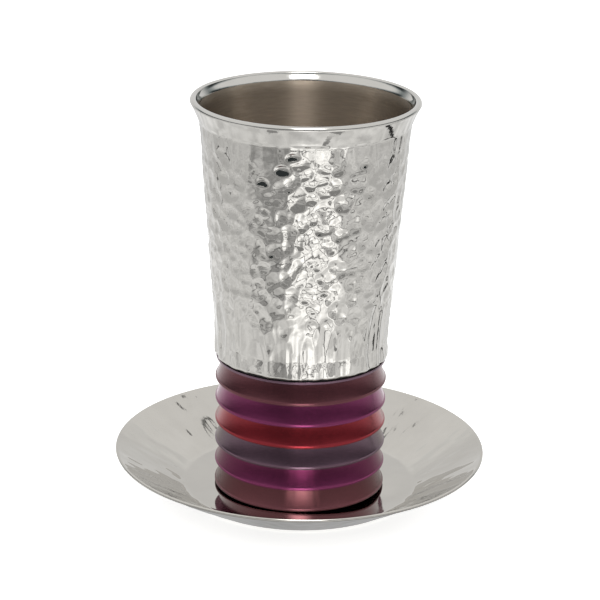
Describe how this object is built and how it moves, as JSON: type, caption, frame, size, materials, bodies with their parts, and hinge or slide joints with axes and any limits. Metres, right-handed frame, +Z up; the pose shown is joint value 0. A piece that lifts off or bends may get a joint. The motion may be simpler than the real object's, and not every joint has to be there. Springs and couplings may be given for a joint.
{
  "type": "kiddush cup",
  "caption": "Tapered hammered steel wine beaker on a stem of coloured anodised rings, standing in its polished steel saucer.",
  "frame": {"origin": "middle of the saucer's foot ring, on the surface that the cup stands on", "axes": "+Z up along the axis that every piece is turned about; X and Y lie in the table's plane, with -Y towards the camera"},
  "size_m": [0.1324, 0.1324, 0.1448],
  "materials": {
    "saucer_steel": "mirror-polished stainless steel",
    "beaker_steel": "stainless steel, hammered and polished outside, satin inside",
    "rose_aluminium": "satin, anodised dusty rose",
    "magenta_aluminium": "satin, anodised magenta",
    "red_aluminium": "satin, anodised red",
    "lavender_aluminium": "satin, anodised lavender grey",
    "black_rubber": "matt black"
  },
  "bodies": {
    "root": {"saucer": "saucer_steel", "ring_rose_bottom": "rose_aluminium", "ring_magenta_bottom": "magenta_aluminium", "ring_lavender": "lavender_aluminium", "ring_red": "red_aluminium", "ring_magenta_top": "magenta_aluminium", "ring_rose_top": "rose_aluminium", "stem_disc": "lavender_aluminium", "washer": "black_rubber", "beaker": "beaker_steel"}
  },
  "joints": []
}
